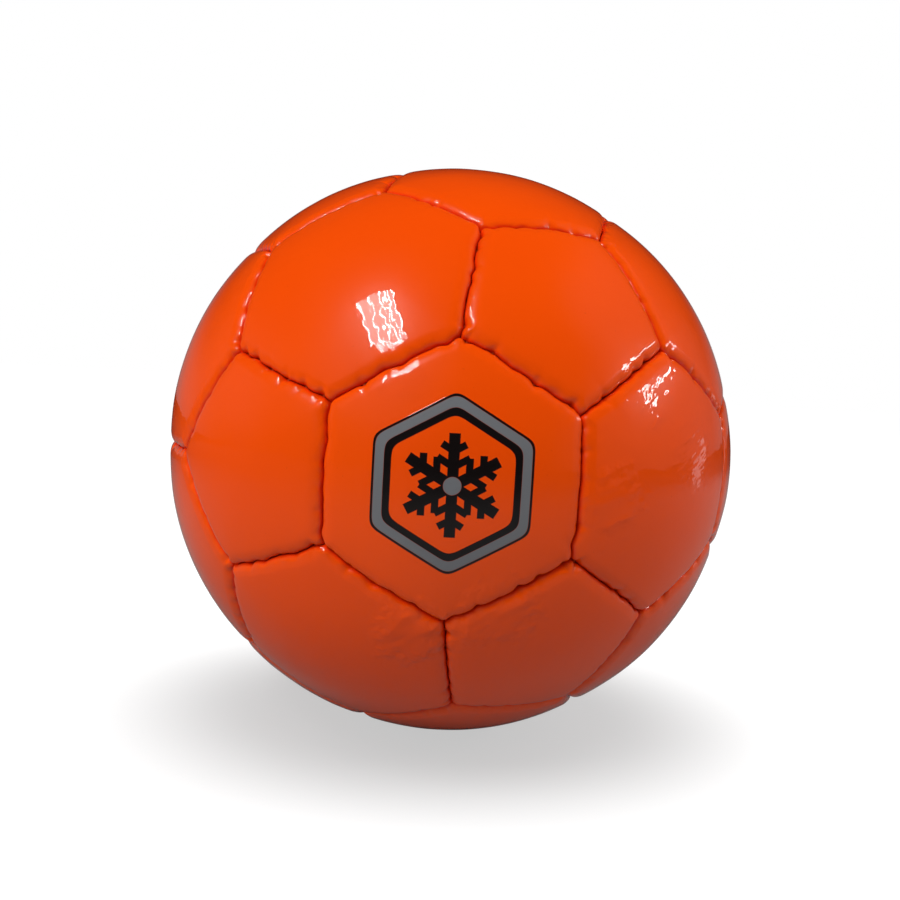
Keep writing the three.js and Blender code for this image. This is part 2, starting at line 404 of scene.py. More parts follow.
def buildPanelMesh(name, middle, corners, drilled):
    radius = ball["radius"]
    steps = panelMesh["steps"]
    hole = panelMesh["holeSteps"] if drilled else 0
    share = gridSpacing()
    count = len(corners)
    centre = np.array(middle)
    u, v = map(column, np.meshgrid(share, share[1:], indexing="ij"))
    directions = np.vstack([centre[None]] + [kite(centre, corners, i, u, v) for i in range(count)])
    across, down = np.indices((steps + 1, steps)).reshape(2, -1)
    reach = np.concatenate([[0]] + [np.maximum(across, down + 1)] * count)

    def at(i, j, k):
        # the number of a grid point; a kite's first column is the first row of the one before
        if k == 0:
            i, j, k = (i - 1) % count, 0, j
        return 0 if k == 0 else (i * (steps + 1) + j) * steps + k

    def loop(size):
        return [at(i, *spot) for i in range(count)
                for spot in [(size, k) for k in range(size)] + [(j, size) for j in range(size, 0, -1)]]

    facts = seamFacts(directions, corners)
    extraDrop = np.zeros(len(directions))
    if drilled:
        # the grid opens up to a round hole, and the face turns down a little at its rim
        rim = panelMesh["holeRadius"] / radius
        angle = anglesFrom(centre, directions)
        blend = np.clip((reach - hole) / panelMesh["holeBlend"], 0, 1)
        opened = ((1 - blend) * rim + blend * angle) * (1 + panelMesh["holeSpread"] * blend * (1 - blend))
        sideways = sidewaysFrom(centre, directions)
        sideways[0] = np.array(corners[0]) - centre
        directions = leaned(centre, unit(sideways), opened)
        fromRim = np.clip((opened - rim) * radius / panelMesh["rimReach"], 0, 1)
        extraDrop = panelMesh["rimDrop"] * (1 - fromRim) ** 2
    faces = [(at(i, j, k), at(i, j + 1, k), at(i, j + 1, k + 1), at(i, j, k + 1))
             for i in range(count) for j in range(steps) for k in range(steps) if max(j, k) >= hole]
    vertices = (directions * radius).tolist()
    faceCount = len(vertices)

    def addPoints(rows):
        first = len(vertices)
        vertices.extend(rows.tolist())
        return list(range(first, len(vertices)))

    def ring(loopPoints, inset, depth):
        # a copy of a loop, moved in from its seam and down from the ball's surface
        moved = directions[loopPoints] + facts["seamSide"][loopPoints] * inset / radius
        return addPoints(unit(moved) * (radius - depth))

    def band(upper, lower):
        for n in range(len(upper)):
            m = (n + 1) % len(upper)
            faces.append((upper[n], lower[n], lower[m], upper[m]))

    groove = ball["crownRise"] + ball["grooveDepth"]
    hemEnd = groove + ball["hemDepth"]
    depths = (groove + panelMesh["hemNeck"], hemEnd, hemEnd, ball["coverThickness"] + panelMesh["hemReturn"])
    edge = loop(steps)
    last = edge
    for inset, depth in zip(panelMesh["hemInsets"], depths):
        hem = ring(edge, inset, depth)
        band(last, hem)
        last = hem
    if drilled:
        rim = loop(hole)
        wall = ring(rim, 0, ball["coverThickness"])
        band(wall, rim)
        zipLoops(last, wall, faces)
    else:
        back = radius - ball["coverThickness"]
        east = np.array(corners[0].cross(middle).normalized())
        north = np.cross(centre, east)
        towards = corners[0] + corners[-1]
        points = panelMesh["liningPoints"]
        turns = math.atan2(towards.dot(Vector(north)), towards.dot(Vector(east))) \
            + 2 * math.pi * np.arange(points) / points
        around = np.outer(np.cos(turns), east) + np.outer(np.sin(turns), north)
        inner = addPoints(unit(centre + panelMesh["liningReach"] * around) * back)
        zipLoops(last, inner, faces)
        apex = addPoints(centre[None] * back)[0]
        faces += [(inner[n], apex, inner[(n + 1) % points]) for n in range(points)]

    mesh = bpy.data.meshes.new(name)
    mesh.from_pydata(vertices, [], faces)
    padding = len(vertices) - faceCount
    values = {key: np.concatenate([facts[key], np.zeros((padding,) + facts[key].shape[1:])]) for key in facts}
    values["extraDrop"] = np.concatenate([extraDrop, np.zeros(padding)])
    values["onFace"] = np.concatenate([np.ones(faceCount), np.zeros(padding)])
    values["panelTone"] = np.full(len(vertices), random.Random(str(placeKey(middle))).random())
    for key, array in values.items():
        kind, field = ("FLOAT_VECTOR", "vector") if array.ndim > 1 else ("FLOAT", "value")
        attribute = mesh.attributes.new(key, kind, "POINT")
        attribute.data.foreach_set(field, array.astype(np.float32).ravel())
    if drilled:
        work = bmesh.new()
        work.from_mesh(mesh)
        dropLoosePoints(work)
        work.to_mesh(mesh)
        work.free()
    smooth(mesh)
    return mesh


def fall(value, width):
    # a bell curve: 1 at zero, and small past the width
    share = over(value, width)
    return maths("EXPONENT", times(times(share, share), -1.0))


def buildPanelTree():
    inputs = {"Geometry": "Geometry", "Material": "Material", "Ball Radius": ball["radius"],
              "Crown Rise": ball["crownRise"], "Groove Depth": ball["grooveDepth"], **panelForm,
              # a hexagon's, until each panel gives its own
              "Half Width": 28 * mm, "Corner Cosine": 0.5}
    tree, entry, leave = newTree("panelForm", "GeometryNodeTree", inputs, {"Geometry": "Geometry"})
    inset = stored(tree, "seamInset")
    offset = stored(tree, "stitchOffset")
    place = addNode(tree, "GeometryNodeInputPosition").outputs[0]

    # distance from the outline once its corners are rounded
    radius, cosine = entry["Corner Radius"], entry["Corner Cosine"]
    a = minus(inset, radius)
    b = minus(stored(tree, "secondInset"), radius)
    squares = plus(times(a, a), times(b, b))
    cross = times(times(a, b), times(cosine, 2.0))
    length = maths("SQRT", over(minus(squares, cross), minus(1.0, times(cosine, cosine))))
    inCorner = maths("LESS_THAN", b, times(cosine, a))
    outline = plus(inset, times(inCorner, minus(minus(radius, length), inset)))
    outside = larger(times(outline, -1.0), 0.0)
    within = larger(outline, 0.0)

    # crown, rolled edge and the dimple where three panels meet
    fromMiddle = larger(minus(1.0, over(within, entry["Half Width"])), 0.0)
    crown = times(entry["Crown Rise"], times(fromMiddle, fromMiddle))
    roll = larger(minus(1.0, over(within, entry["Shoulder Width"])), 0.0)
    arc = maths("SQRT", larger(minus(1.0, times(roll, roll)), 0.0))
    groove = times(entry["Groove Depth"], minus(1.0, arc))
    dimple = times(outside, entry["Dimple"])

    # every stitch pulls the edge down and back, and leaves a crease that runs into the panel
    wander = noise(place, entry["Wander Scale"], W=entry["Seed"])
    strength = times(stored(tree, "stitchPull"), plus(wander, 0.5))
    pinch = times(fall(offset, entry["Pinch Width"]), strength)
    pinchDrop = times(entry["Pinch Depth"], times(pinch, fall(within, entry["Pinch Reach"])))
    bent = plus(offset, times(minus(wander, 0.5), times(within, entry["Wander Scale"])))
    crease = times(times(fall(bent, entry["Crease Width"]), strength), fall(within, entry["Crease Reach"]))
    creaseDrop = times(entry["Crease Depth"], crease)
    drawn = plus(entry["Half Gap"], times(entry["Scallop"], pinch))
    drawn = times(drawn, fall(inset, entry["Scallop Reach"]))
    swung = times(times(entry["Sway"], stored(tree, "stitchSway")),
                  times(fall(offset, entry["Sway Width"]), fall(inset, entry["Sway Reach"])))
    drawn = plus(drawn, swung)

    # the foam and the hand's work leave the face a little uneven
    uneven = noise(place, entry["Uneven Scale"], W=entry["Seed"], Detail=2.5, Roughness=0.42)
    height = minus(times(minus(uneven, 0.5), entry["Uneven Height"]), crown)
    for drop in (groove, dimple, pinchDrop, creaseDrop, stored(tree, "extraDrop")):
        height = minus(height, drop)
    target = scaled(vectors("NORMALIZE", place), plus(entry["Ball Radius"], height))
    target = vectors("ADD", target, scaled(stored(tree, "seamSide", "FLOAT_VECTOR"), drawn))
    formed = addNode(tree, "GeometryNodeSetPosition",
                     [("Geometry", entry["Geometry"]), ("Selection", stored(tree, "onFace")),
                      ("Position", target)])
    endGeometry(tree, formed.outputs[0], entry, leave)
    return tree


# Surface finishes

def buildWrinkleGroup():
    # fine stress wrinkles of a coated face, stretched along one way, over a soft ripple
    tree, entry, leave = newTree(
        "coatedFaceWrinkles", "ShaderNodeTree",
        {"Vector": "Vector", "Wrinkle Scale": 380.0, "Wrinkle Amount": 0.5, "Stretch": 0.16,
         "Patch Scale": 45.0, "Drift Scale": 160.0, "Drift": 3.2 * mm, "Ripple Scale": 220.0,
         "Ripple Amount": 0.5}, {"Height": "Float", "Patch": "Float"})
    place = entry["Vector"]
    patch = noise(place, entry["Patch Scale"], Detail=2.0)
    drift = noise(place, entry["Drift Scale"], "Color", Detail=2.0)
    shifted = vectors("ADD", place, scaled(drift, entry["Drift"]))
    drawn = vectors("MULTIPLY", shifted, combined(tree, X=1.0, Y=1.0, Z=entry["Stretch"]))
    lines = noise(drawn, entry["Wrinkle Scale"], Detail=1.0, Roughness=0.4)
    ridged = maths("ABSOLUTE", minus(lines, 0.5))
    wrinkles = times(times(ridged, easedRange(patch, 0.38, 0.66, 0.4, 1.0)), entry["Wrinkle Amount"])
    swell = times(noise(place, entry["Ripple Scale"], Detail=0.0), entry["Ripple Amount"])
    put(plus(wrinkles, swell), leave["Height"])
    put(patch, leave["Patch"])
    return tree


def buildCreaseGroup():
    # a spot where the face has been creased: short ridges that run one way and fade out round it
    tree, entry, leave = newTree(
        "creasedSpot", "ShaderNodeTree",
        {"Vector": "Vector", "Centre": "Vector", "Reach": 8 * mm, "Turn": 0.0, "Crease Scale": 500.0,
         "Stretch": 0.2, "Amount": 1.0, "Rag Scale": 260.0, "Rag": 1.2}, {"Height": "Float"})
    offset = vectors("SUBTRACT", entry["Vector"], entry["Centre"])
    # on the spot itself the ball's face is nearly flat, so its own outward way is the axis of the turn
    outward = vectors("NORMALIZE", entry["Centre"])
    turned = addNode(tree, "ShaderNodeVectorRotate",
                     [("Vector", offset), ("Axis", outward), ("Angle", entry["Turn"])],
                     rotation_type="AXIS_ANGLE")
    drawn = vectors("MULTIPLY", turned.outputs[0], combined(tree, X=1.0, Y=1.0, Z=entry["Stretch"]))
    lines = noise(drawn, entry["Crease Scale"], Detail=1.0, Roughness=0.4)
    ragged = times(minus(noise(entry["Vector"], entry["Rag Scale"]), 0.5), entry["Rag"])
    away = plus(over(vectors("LENGTH", offset), entry["Reach"]), ragged)
    mask = times(easedRange(away, 0.35, 1.1, 1.0, 0.0), entry["Amount"])
    put(times(lines, mask), leave["Height"])
    return tree


def buildToneGroup():
    # slow drift of a colour, with grime in small specks
    tree, entry, leave = newTree(
        "dyeTone", "ShaderNodeTree",
        {"Vector": "Vector", "Colour": "Color", "Deep Colour": "Color", "Drift Scale": 30.0, "Drift": 0.3,
         "Speck Scale": 1900.0, "Specks": 0.2}, {"Colour": "Color", "Specks": "Float"})
    amount = times(noise(entry["Vector"], entry["Drift Scale"], Detail=3.0), entry["Drift"])
    dyed = mixColours(amount, entry["Colour"], entry["Deep Colour"])
    dots = noise(entry["Vector"], entry["Speck Scale"], Detail=1.0)
    specks = times(easedRange(dots, 0.74, 0.82), entry["Specks"])
    grime = (0.02, 0.012, 0.01, 1.0)
    put(mixColours(specks, dyed, grime), leave["Colour"])
    put(specks, leave["Specks"])
    return tree


def buildPrintGroup():
    # a plain snow crystal in a six-sided frame, laid over the front panel: masks for the two inks
    tree, entry, leave = newTree(
        "snowCrystalPrint", "ShaderNodeTree",
        {"Vector": "Vector", "Frame Reach": 16.4 * mm, "Line": 0.5 * mm, "Band": 1.9 * mm,
         "Inner Line": 1.5 * mm, "Crystal Reach": 10.6 * mm, "Arm Width": 2.3 * mm, "Barb Width": 1.5 * mm,
         "Heart": 0.19, "Rounding": 2.4 * mm, "Softness": 0.07 * mm},
        {"Dark Ink": "Float", "Grey Ink": "Float", "Film": "Float"})
    x, y, z = partsOf(entry["Vector"])
    slope = math.sqrt(0.75)
    half = times(x, 0.5)
    tall = times(z, slope)
    sides = [maths("ABSOLUTE", value) for value in (x, plus(half, tall), minus(half, tall))]
    frameReach = maths("SMOOTH_MAX", sides[0], sides[1], entry["Rounding"])
    frameReach = maths("SMOOTH_MAX", frameReach, sides[2], entry["Rounding"])

    def inside(distance):
        # 1 where the distance is below zero, with a soft edge
        return easedRange(distance, entry["Softness"], times(entry["Softness"], -1.0))

    lineEnd = minus(entry["Frame Reach"], entry["Line"])
    bandEnd = minus(lineEnd, entry["Band"])
    innerEnd = minus(bandEnd, entry["Inner Line"])
    outer, band, inner, field = (inside(minus(frameReach, reach)) for reach in
                                 (entry["Frame Reach"], lineEnd, bandEnd, innerEnd))
    darkFrame = plus(minus(outer, band), minus(inner, field))
    greyBand = minus(band, inner)

    # one arm of the crystal stands for all six: the place is folded into a twelfth of a turn
    reach = entry["Crystal Reach"]
    sector = math.radians(60)
    folded = maths("ABSOLUTE", maths("WRAP", maths("ARCTAN2", x, z), sector / 2, -sector / 2))
    away = vectors("LENGTH", combined(tree, X=x, Z=z))
    along = times(away, maths("COSINE", folded))
    beside = times(away, maths("SINE", folded))
    crystal = larger(minus(beside, times(entry["Arm Width"], 0.5)), minus(along, reach))
    for start, length in ((0.36, 0.36), (0.66, 0.27)):    # shares of the arm
        ahead = minus(along, times(reach, start))
        off = maths("ABSOLUTE", minus(times(ahead, slope), times(beside, 0.5)))
        out = plus(times(ahead, 0.5), times(beside, slope))
        barb = larger(minus(off, times(entry["Barb Width"], 0.5)), minus(out, times(reach, length)))
        crystal = maths("MINIMUM", crystal, barb)
    heart = inside(minus(frameReach, times(reach, entry["Heart"])))
    dark = larger(darkFrame, times(inside(crystal), minus(1.0, heart)))
    grey = larger(greyBand, heart)
    put(dark, leave["Dark Ink"])
    put(grey, leave["Grey Ink"])
    put(maths("MINIMUM", plus(dark, grey), 1.0), leave["Film"])
    return tree


def placeGroup(group, coordinates, values):
    node = addNode(coordinates.id_data, "ShaderNodeGroup", node_tree=group)
    for key, value in dict(values, Vector=coordinates).items():
        put(value, node.inputs[key])
    return node.outputs


def startMaterial(name):
    material = bpy.data.materials.new(name)
    material.use_nodes = True
    tree = material.node_tree
    shader = next(node for node in tree.nodes if node.type == "BSDF_PRINCIPLED")
    coordinates = addNode(tree, "ShaderNodeTexCoord").outputs["Object"]
    return material, shader, coordinates


def finishShader(shader, colour, roughness, height, distance, constants=()):
    bump = addNode(shader.id_data, "ShaderNodeBump", [("Height", height), ("Distance", distance)])
    put(colour, shader.inputs["Base Color"])
    put(roughness, shader.inputs["Roughness"])
    put(bump.outputs[0], shader.inputs["Normal"])
    for key, value in dict(constants).items():
        shader.inputs[key].default_value = value


vinyl = {
    "dye": {"Colour": (0.86, 0.074, 0.0, 1.0), "Deep Colour": (0.68, 0.045, 0.0, 1.0), "Drift": 0.35,
            "Specks": 0.12},
    "panelDrift": 0.14,             # how far one panel's colour may lie from the next one's
    "wrinkles": {"Wrinkle Amount": 0.15, "Ripple Scale": 620.0, "Ripple Amount": 0.18},
    "roughness": (0.015, 0.05),     # of the sharp gloss, which the wrinkles bend
    "bumpHeight": 0.09 * mm,
    # the level of that gloss, and the coat that gives the broad glow round it
    "gloss": {"Specular IOR Level": 0.36, "Coat Weight": 0.25, "Coat Roughness": 0.3, "Coat IOR": 1.45},
    "paintedSeamShade": (0.72, 0.02, 0.0, 1.0),     # painted shade: a deeper red where the face turns down into a seam, standing in for the shade and red interreflection in the groove
    "seamShadeReach": 0.9 * mm,
    "seamShadeShare": 0.85,
    "puckerScale": 460.0,           # small puckers that the stitches leave along the seams
    "puckerReach": 2.4 * mm,
    "puckerAmount": 5.2,
    "darkInk": (0.006, 0.004, 0.004, 1.0),
    "greyInk": (0.15, 0.155, 0.165, 1.0),
    "inkHeight": 0.035 * mm,
}


# where the face has been creased: the way there from the ball's middle, how far round it in mm,
# then the turn, scale, stretch and amount of the creases
creases = {
    "behindSheen": ((-0.22, -0.88, 0.42), 9, -0.3, 640.0, 0.35, 0.12),
    "topEdge": ((-0.15, -0.94, 0.30), 7, -0.5, 420.0, 0.3, 2.4),
    "puckers": ((0.54, -0.80, 0.27), 9, 0.7, 700.0, 0.35, 2.1),
    "slantingLines": ((0.71, -0.69, 0.09), 10, 1.15, 900.0, 0.15, 1.6),
    "lowerFolds": ((0.45, -0.89, -0.04), 9, 1.2, 300.0, 0.12, 5.0),
    "underFolds": ((-0.09, -0.89, -0.45), 10, 0.9, 260.0, 0.15, 9.0),
    "rightUnderFolds": ((0.15, -0.92, -0.37), 10, 1.0, 240.0, 0.15, 8.0),
}


def buildCoverMaterial(name, printed):
    material, shader, coordinates = startMaterial(name)
    tree = material.node_tree
    tone = placeGroup(toneGroup, coordinates, vinyl["dye"])
    wrinkles = placeGroup(wrinkleGroup, coordinates, vinyl["wrinkles"])
    inset, panelTone = (addNode(tree, "ShaderNodeAttribute", attribute_name=key).outputs["Fac"]
                        for key in ("seamInset", "panelTone"))
    colour = mixColours(times(panelTone, vinyl["panelDrift"]), tone["Colour"], vinyl["dye"]["Deep Colour"])
    # painted shade: the colour turns a deeper red towards each seam, for the shade in the groove
    seamShadeMask = easedRange(inset, 0.0, vinyl["seamShadeReach"], vinyl["seamShadeShare"], 0.0)
    colour = mixColours(seamShadeMask, colour, vinyl["paintedSeamShade"])
    alongSeams = easedRange(inset, 0.0, vinyl["puckerReach"], vinyl["puckerAmount"], 0.0)
    puckers = times(noise(coordinates, vinyl["puckerScale"], Detail=0.0), alongSeams)
    height = plus(wrinkles["Height"], puckers)
    for towards, reach, turn, scale, stretch, amount in creases.values():
        spot = placeGroup(creaseGroup, coordinates, {
            "Centre": Vector(towards).normalized() * ball["radius"], "Reach": reach * mm, "Turn": turn,
            "Crease Scale": scale, "Stretch": stretch, "Amount": amount})
        height = plus(height, spot["Height"])
    if printed:
        inks = placeGroup(printGroup, coordinates, {})
        colour = mixColours(inks["Grey Ink"], colour, vinyl["greyInk"])
        colour = mixColours(inks["Dark Ink"], colour, vinyl["darkInk"])
        height = plus(height, times(inks["Film"], vinyl["inkHeight"] / vinyl["bumpHeight"]))
    roughness = easedRange(wrinkles["Patch"], 0.3, 0.7, *vinyl["roughness"])
    finishShader(shader, colour, roughness, height, vinyl["bumpHeight"], vinyl["gloss"])
    return material


wrinkleGroup = buildWrinkleGroup()
creaseGroup = buildCreaseGroup()
toneGroup = buildToneGroup()
printGroup = buildPrintGroup()
coverMaterial = buildCoverMaterial("orangeVinyl", False)
printedMaterial = buildCoverMaterial("printedOrangeVinyl", True)
panelTree = buildPanelTree()


def buildPanels():
    nodes = sorted(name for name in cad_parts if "panel" in name)
    for name in nodes:
        low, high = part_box(name)
        towards = (low + high).normalized()
        middle, corners = max(panels, key=lambda panel: panel[0].dot(towards))
        printed = name == "printed_panel"
        piece = newPiece(name + "_cover",
                         buildPanelMesh(name + "_cover", middle, corners, name == "valve_panel"))
        side = corners[0].cross(corners[1]).normalized()
        nextSide = corners[1].cross(corners[2]).normalized()
        values = {"Half Width": ball["radius"] * math.asin(side.dot(middle)),
                  "Corner Cosine": side.dot(nextSide),
                  "Material": printedMaterial if printed else coverMaterial}
        runTree(piece, panelTree, dict(panelForm, **values))
        dress(piece, name)
    print("cover panels:", len(nodes))


buildPanels()


# The sewing thread

thread = {
    "lineRadius": 72.3 * mm,    # where it runs, between the hems
    "stitchRadius": 73.5 * mm,  # where a stitch crosses from one panel to the next
    "lineSteps": 10,
    "slant": 18,                # degrees that a stitch leans from square across the seam
    "dye": {"Colour": (0.55, 0.06, 0.012, 1.0), "Deep Colour": (0.30, 0.028, 0.008, 1.0),
            "Drift Scale": 400.0, "Drift": 0.8, "Specks": 0.1},
    "strandScale": 2600.0,
    "roughness": (0.55, 0.8),
    "bumpHeight": 0.05 * mm,
    "gloss": {"Specular IOR Level": 0.2},
}

threadForm = {
    "Thread Radius": 0.34 * mm,
    "Stitch Span": 2.6 * mm,
    "Stitch Rise": 0.55 * mm,
    "Stitch Drop": 0.7 * mm,
    "Length Variation": 0.15,
    "Seed": 5,
}


def buildThreadTree():
    inputs = {"Geometry": "Geometry", "Material": "Material", **threadForm}
    tree, entry, leave = newTree("seamThreadForm", "GeometryNodeTree", inputs, {"Geometry": "Geometry"})
    split = addNode(tree, "GeometryNodeSeparateGeometry",
                    [("Geometry", entry["Geometry"]), ("Selection", stored(tree, "isStitch"))])
    section = addNode(tree, "GeometryNodeCurvePrimitiveCircle",
                      [("Resolution", 6), ("Radius", entry["Thread Radius"])])

    def sweep(path):
        pairs = [(0, path), (1, section.outputs[0]), ("Fill Caps", True)]
        return addNode(tree, "GeometryNodeCurveToMesh", pairs).outputs[0]

    # a stitch bows up over the seam, and dives into the hem on either side
    halfSpan = times(entry["Stitch Span"], 0.5)
    low = times(entry["Stitch Drop"], -1.0)
    bow = addNode(tree, "GeometryNodeCurveQuadraticBezier",
                  [("Resolution", 6), ("Start", combined(tree, X=times(halfSpan, -1.0), Z=low)),
                   ("Middle", combined(tree, Z=entry["Stitch Rise"])),
                   ("End", combined(tree, X=halfSpan, Z=low))])
    stitch = sweep(bow.outputs[0])
    turn = stored(tree, "stitchTurn", "FLOAT_VECTOR")
    rotation = addNode(tree, "FunctionNodeEulerToRotation", [(0, turn)])
    shortest = minus(1.0, entry["Length Variation"])
    length = addNode(tree, "FunctionNodeRandomValue", [(2, shortest), (3, 1.0), ("Seed", entry["Seed"])],
                     data_type="FLOAT")
    sewn = addNode(tree, "GeometryNodeInstanceOnPoints",
                   [("Points", split.outputs["Selection"]), ("Instance", stitch),
                    ("Rotation", rotation.outputs[0]), ("Scale", length.outputs[1])])

    line = addNode(tree, "GeometryNodeMeshToCurve", [(0, split.outputs["Inverted"])])
    both = addNode(tree, "GeometryNodeJoinGeometry", [(0, sweep(line.outputs[0])), (0, sewn.outputs[0])])
    smoothed = addNode(tree, "GeometryNodeSetShadeSmooth", [(0, both.outputs[0])])
    endGeometry(tree, smoothed.outputs[0], entry, leave)
    return tree


def buildThreadMaterial():
    material, shader, coordinates = startMaterial("waxedThread")
    strands = noise(coordinates, thread["strandScale"], Detail=2.0)
    tone = placeGroup(toneGroup, coordinates, thread["dye"])
    roughness = easedRange(strands, 0.3, 0.7, *thread["roughness"])
    finishShader(shader, tone["Colour"], roughness, strands, thread["bumpHeight"], thread["gloss"])
    return material


def buildThread():
    vertices, edges, isStitch, turns = [], [], [], []
    for start, end, stitches in seams.values():
        side = start.cross(end).normalized()
        onward = (end - start * start.dot(end)).normalized()
        arc = start.angle(end)

        def at(share):
            return start * math.cos(arc * share) + onward * math.sin(arc * share)

        for k in range(thread["lineSteps"] + 1):
            if k:
                edges.append((len(vertices) - 1, len(vertices)))
            vertices.append(at(k / thread["lineSteps"]) * thread["lineRadius"])
            isStitch.append(0)
            turns.append((0, 0, 0))
        for share, pull, sway in stitches:
            outward = at(share)
            across = Matrix.Rotation(math.radians(thread["slant"]), 3, outward) @ side
            along = outward.cross(across)
            vertices.append(outward * thread["stitchRadius"] + side * sway * panelForm["Sway"])
            isStitch.append(1)
            turns.append(Matrix((across, along, outward)).transposed().to_euler())
    mesh = bpy.data.meshes.new("seam_thread_sewn")
    mesh.from_pydata([tuple(v) for v in vertices], edges, [])
    mesh.attributes.new("isStitch", "FLOAT", "POINT").data.foreach_set("value", isStitch)
    mesh.attributes.new("stitchTurn", "FLOAT_VECTOR", "POINT").data.foreach_set(
        "vector", [value for turn in turns for value in turn])
    piece = newPiece("seam_thread_sewn", mesh)
    runTree(piece, buildThreadTree(), dict(threadForm, Material=buildThreadMaterial()))
    dress(piece, "seam_thread")
    print("thread:", sum(isStitch), "stitches,", len(piece.data.polygons), "faces")


buildThread()


# The bladder, and the valve turned about its axis

bladderMade = {
    "steps": 12,            # of the grid from the middle of a panel to its corner
    "padDrop": 3.1 * mm,    # from the ball's surface down to where it presses on the linings
    "hemDrop": 6.1 * mm,    # and down to the dents that the hems leave
    "dentReach": 4.2 * mm,
    "valveDrop": 2.6 * mm,  # how much deeper it lies under the valve's flange
    "valveReach": 19 * mm,  # out to here
    "valveEase": 5 * mm,    # over this width
    "wall": 0.9 * mm,
    "holeRadius": 4.7 * mm,
}

valve = {
    "neckRadius": 3.5 * mm,
    "flangeRadius": 12.0 * mm,
    "flangeThickness": 1.0 * mm,
    "stemRadius": 4.4 * mm,
    "boreRadius": 2.3 * mm,
    "outletRadius": 1.2 * mm,
    "ringRise": 0.25 * mm,    # a low moulded ring stands round the bore
    "ringFoot": 0.5 * mm,
    "ringTop": 0.75 * mm,
    "coreLength": 9.0 * mm,
    "coreRecess": 0.5 * mm,
    "needleHoleRadius": 0.9 * mm,
    "needleHoleDepth": 5.0 * mm,
    "needleHoleTip": 0.4 * mm,
    "plugGap": 0.1 * mm,      # between the core and its bore
    "lip": (0.5 * mm, 0.3 * mm),    # the funnel at the needle hole's mouth
    "housingRounding": 0.25 * mm,
    "coreRounding": 0.2 * mm,
    "patchRounding": 0.15 * mm,
    "patchRadius": 15.0 * mm,
    "patchThickness": 0.8 * mm,
    "clearance": 0.3 * mm,
    "segments": 64,
}


def softened(profile, amount, steps=3):
    # rounds the corners of a closed profile
    result = []
    for i, spot in enumerate(profile):
        spot = Vector(spot)
        before = Vector(profile[i - 1]) - spot
        after = Vector(profile[(i + 1) % len(profile)]) - spot
        reach = min(amount, before.length * 0.4, after.length * 0.4)
        if spot.x < 1e-6 or reach < 0.02 * mm:
            result.append(tuple(spot))
            continue
        first = spot + before.normalized() * reach
        last = spot + after.normalized() * reach
        for k in range(steps + 1):
            t = k / steps
            result.append(tuple((1 - t) ** 2 * first + 2 * t * (1 - t) * spot + t ** 2 * last))
    return result


def turnedMesh(name, profile):
    # the profile's points are (distance from the Y axis, place along it), going round anticlockwise
    segments = valve["segments"]
    turns = [2 * math.pi * n / segments for n in range(segments)]
    work = bmesh.new()
    rings = []
    for x, y in profile:
        if x < 1e-6:
            rings.append([work.verts.new((0, y, 0))] * segments)
        else:
            rings.append([work.verts.new((x * math.cos(turn), y, x * math.sin(turn))) for turn in turns])
    for i, lower in enumerate(rings):
        upper = rings[(i + 1) % len(rings)]
        for n in range(segments):
            m = (n + 1) % segments
            corners = list(dict.fromkeys((lower[n], lower[m], upper[m], upper[n])))
            if len(corners) > 2:
                work.faces.new(corners)
    bmesh.ops.recalc_face_normals(work, faces=work.faces)
    return meshFrom(work, name)


def dome(radius, start, end, steps=12):
    # points of a dome's profile between two distances from the axis
    shares = [start + (end - start) * k / steps for k in range(steps + 1)]
    return [(x, math.sqrt(radius ** 2 - x ** 2)) for x in shares]


rubber = {
    "blackRubber": {"Colour": (0.018, 0.018, 0.019, 1.0), "Deep Colour": (0.05, 0.048, 0.046, 1.0)},
    "talcedRubber": {"Colour": (0.035, 0.034, 0.033, 1.0), "Deep Colour": (0.16, 0.155, 0.15, 1.0)},
    "dust": {"Drift Scale": 160.0, "Drift": 0.5, "Specks": 0.3},
    "roughness": {"blackRubber": 0.42, "talcedRubber": 0.6},
    "roughnessSpread": 0.2,
    "grainScale": 1400.0,
    "bumpHeight": 0.03 * mm,
}

cloth = {
    "dye": {"Colour": (0.55, 0.50, 0.42, 1.0), "Deep Colour": (0.28, 0.24, 0.19, 1.0), "Drift Scale": 120.0,
            "Drift": 0.7, "Specks": 0.3},
    "hollows": (0.2, 0.17, 0.13, 1.0),    # painted shade between its threads
    "weaveShadeShare": 0.35,
    "pitch": 0.7 * mm,
    "roughness": (0.7, 0.92),
    "bumpHeight": 0.12 * mm,
}


def buildRubberMaterial(name):
    material, shader, coordinates = startMaterial(name)
    tone = placeGroup(toneGroup, coordinates, {**rubber[name], **rubber["dust"]})
    grain = noise(coordinates, rubber["grainScale"], Detail=3.0)
    least = rubber["roughness"][name]
    roughness = easedRange(grain, 0.3, 0.7, least, least + rubber["roughnessSpread"])
    finishShader(shader, tone["Colour"], roughness, grain, rubber["bumpHeight"])
    return material


def buildPatchMaterial():
    # plain-woven cloth, rubbed with rubber glue
    material, shader, coordinates = startMaterial("rubberisedCloth")
    x, y, z = partsOf(coordinates)
    weave = times(*(maths("SINE", times(axis, 2 * math.pi / cloth["pitch"])) for axis in (x, z)))
    tone = placeGroup(toneGroup, coordinates, cloth["dye"])
    # painted shade: the hollows of the weave are darkened
    hollow = easedRange(weave, -1.0, 1.0, 0.0, cloth["weaveShadeShare"])
    shaded = mixColours(hollow, tone["Colour"], cloth["hollows"])
    roughness = easedRange(weave, -1.0, 1.0, *cloth["roughness"])
    finishShader(shader, shaded, roughness, weave, cloth["bumpHeight"])
    return material


def addValvePiece(name, profile, material, node):
    piece = newPiece(name, turnedMesh(name, profile))
    piece.data.materials.append(material)
    dress(piece, node)


